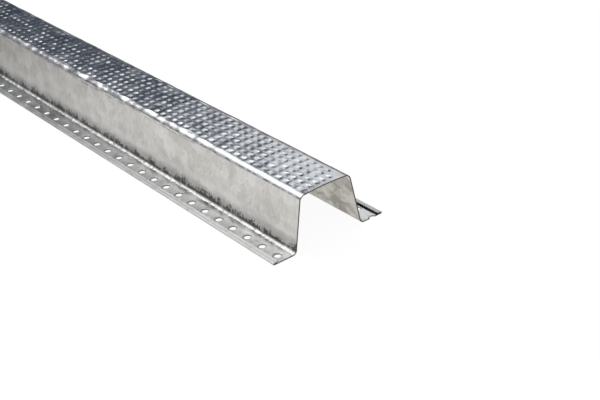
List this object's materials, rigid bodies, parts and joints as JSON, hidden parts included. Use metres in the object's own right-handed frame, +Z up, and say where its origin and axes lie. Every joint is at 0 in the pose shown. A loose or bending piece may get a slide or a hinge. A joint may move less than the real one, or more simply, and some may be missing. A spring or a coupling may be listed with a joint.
{
  "type": "top hat batten",
  "caption": "Roll-formed galvanised steel top hat batten: cambered crown, sloping webs, flat flanges with hemmed edges and a row of punched round holes along each.",
  "frame": {"origin": "on the floor under the middle of the batten, halfway along it and halfway across", "axes": "+Z up from the flanges to the crown, +Y along the batten away from the end that has the cut hole, +X across it to the flange with the cut hole"},
  "size_m": [0.09, 2.4, 0.04],
  "materials": {
    "galvanised_steel": "hot-dip galvanised, satin, with faint spangle"
  },
  "bodies": {
    "root": {"top_hat_batten": "galvanised_steel"}
  },
  "joints": []
}
